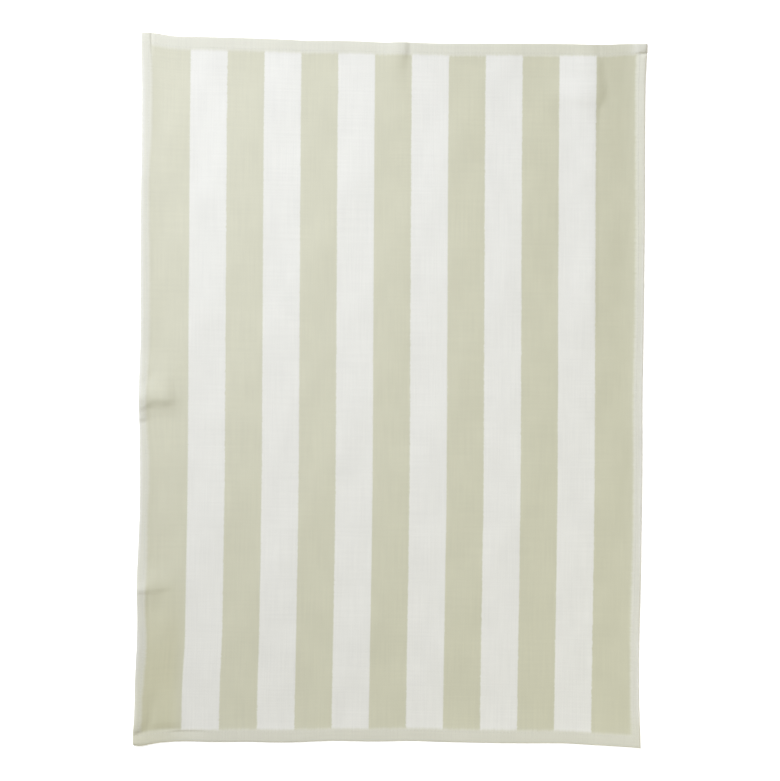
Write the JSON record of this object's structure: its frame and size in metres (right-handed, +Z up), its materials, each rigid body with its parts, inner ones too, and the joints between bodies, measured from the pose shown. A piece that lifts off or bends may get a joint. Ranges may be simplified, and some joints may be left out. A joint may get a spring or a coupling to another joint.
{
  "type": "tea towel",
  "caption": "Rectangular woven cotton tea towel with broad lengthwise stripes and narrow hems on all sides, laid out face up for drying dishes",
  "frame": {"origin": "The middle of the towel's outline, on the surface that it lies on", "axes": "X runs across the towel, Y along its length and its stripes, Z up out of its face"},
  "size_m": [0.513, 0.7127, 0.0052],
  "materials": {
    "striped_cotton": "matt woven cotton"
  },
  "bodies": {
    "root": {"tea_towel": "striped_cotton"}
  },
  "joints": []
}
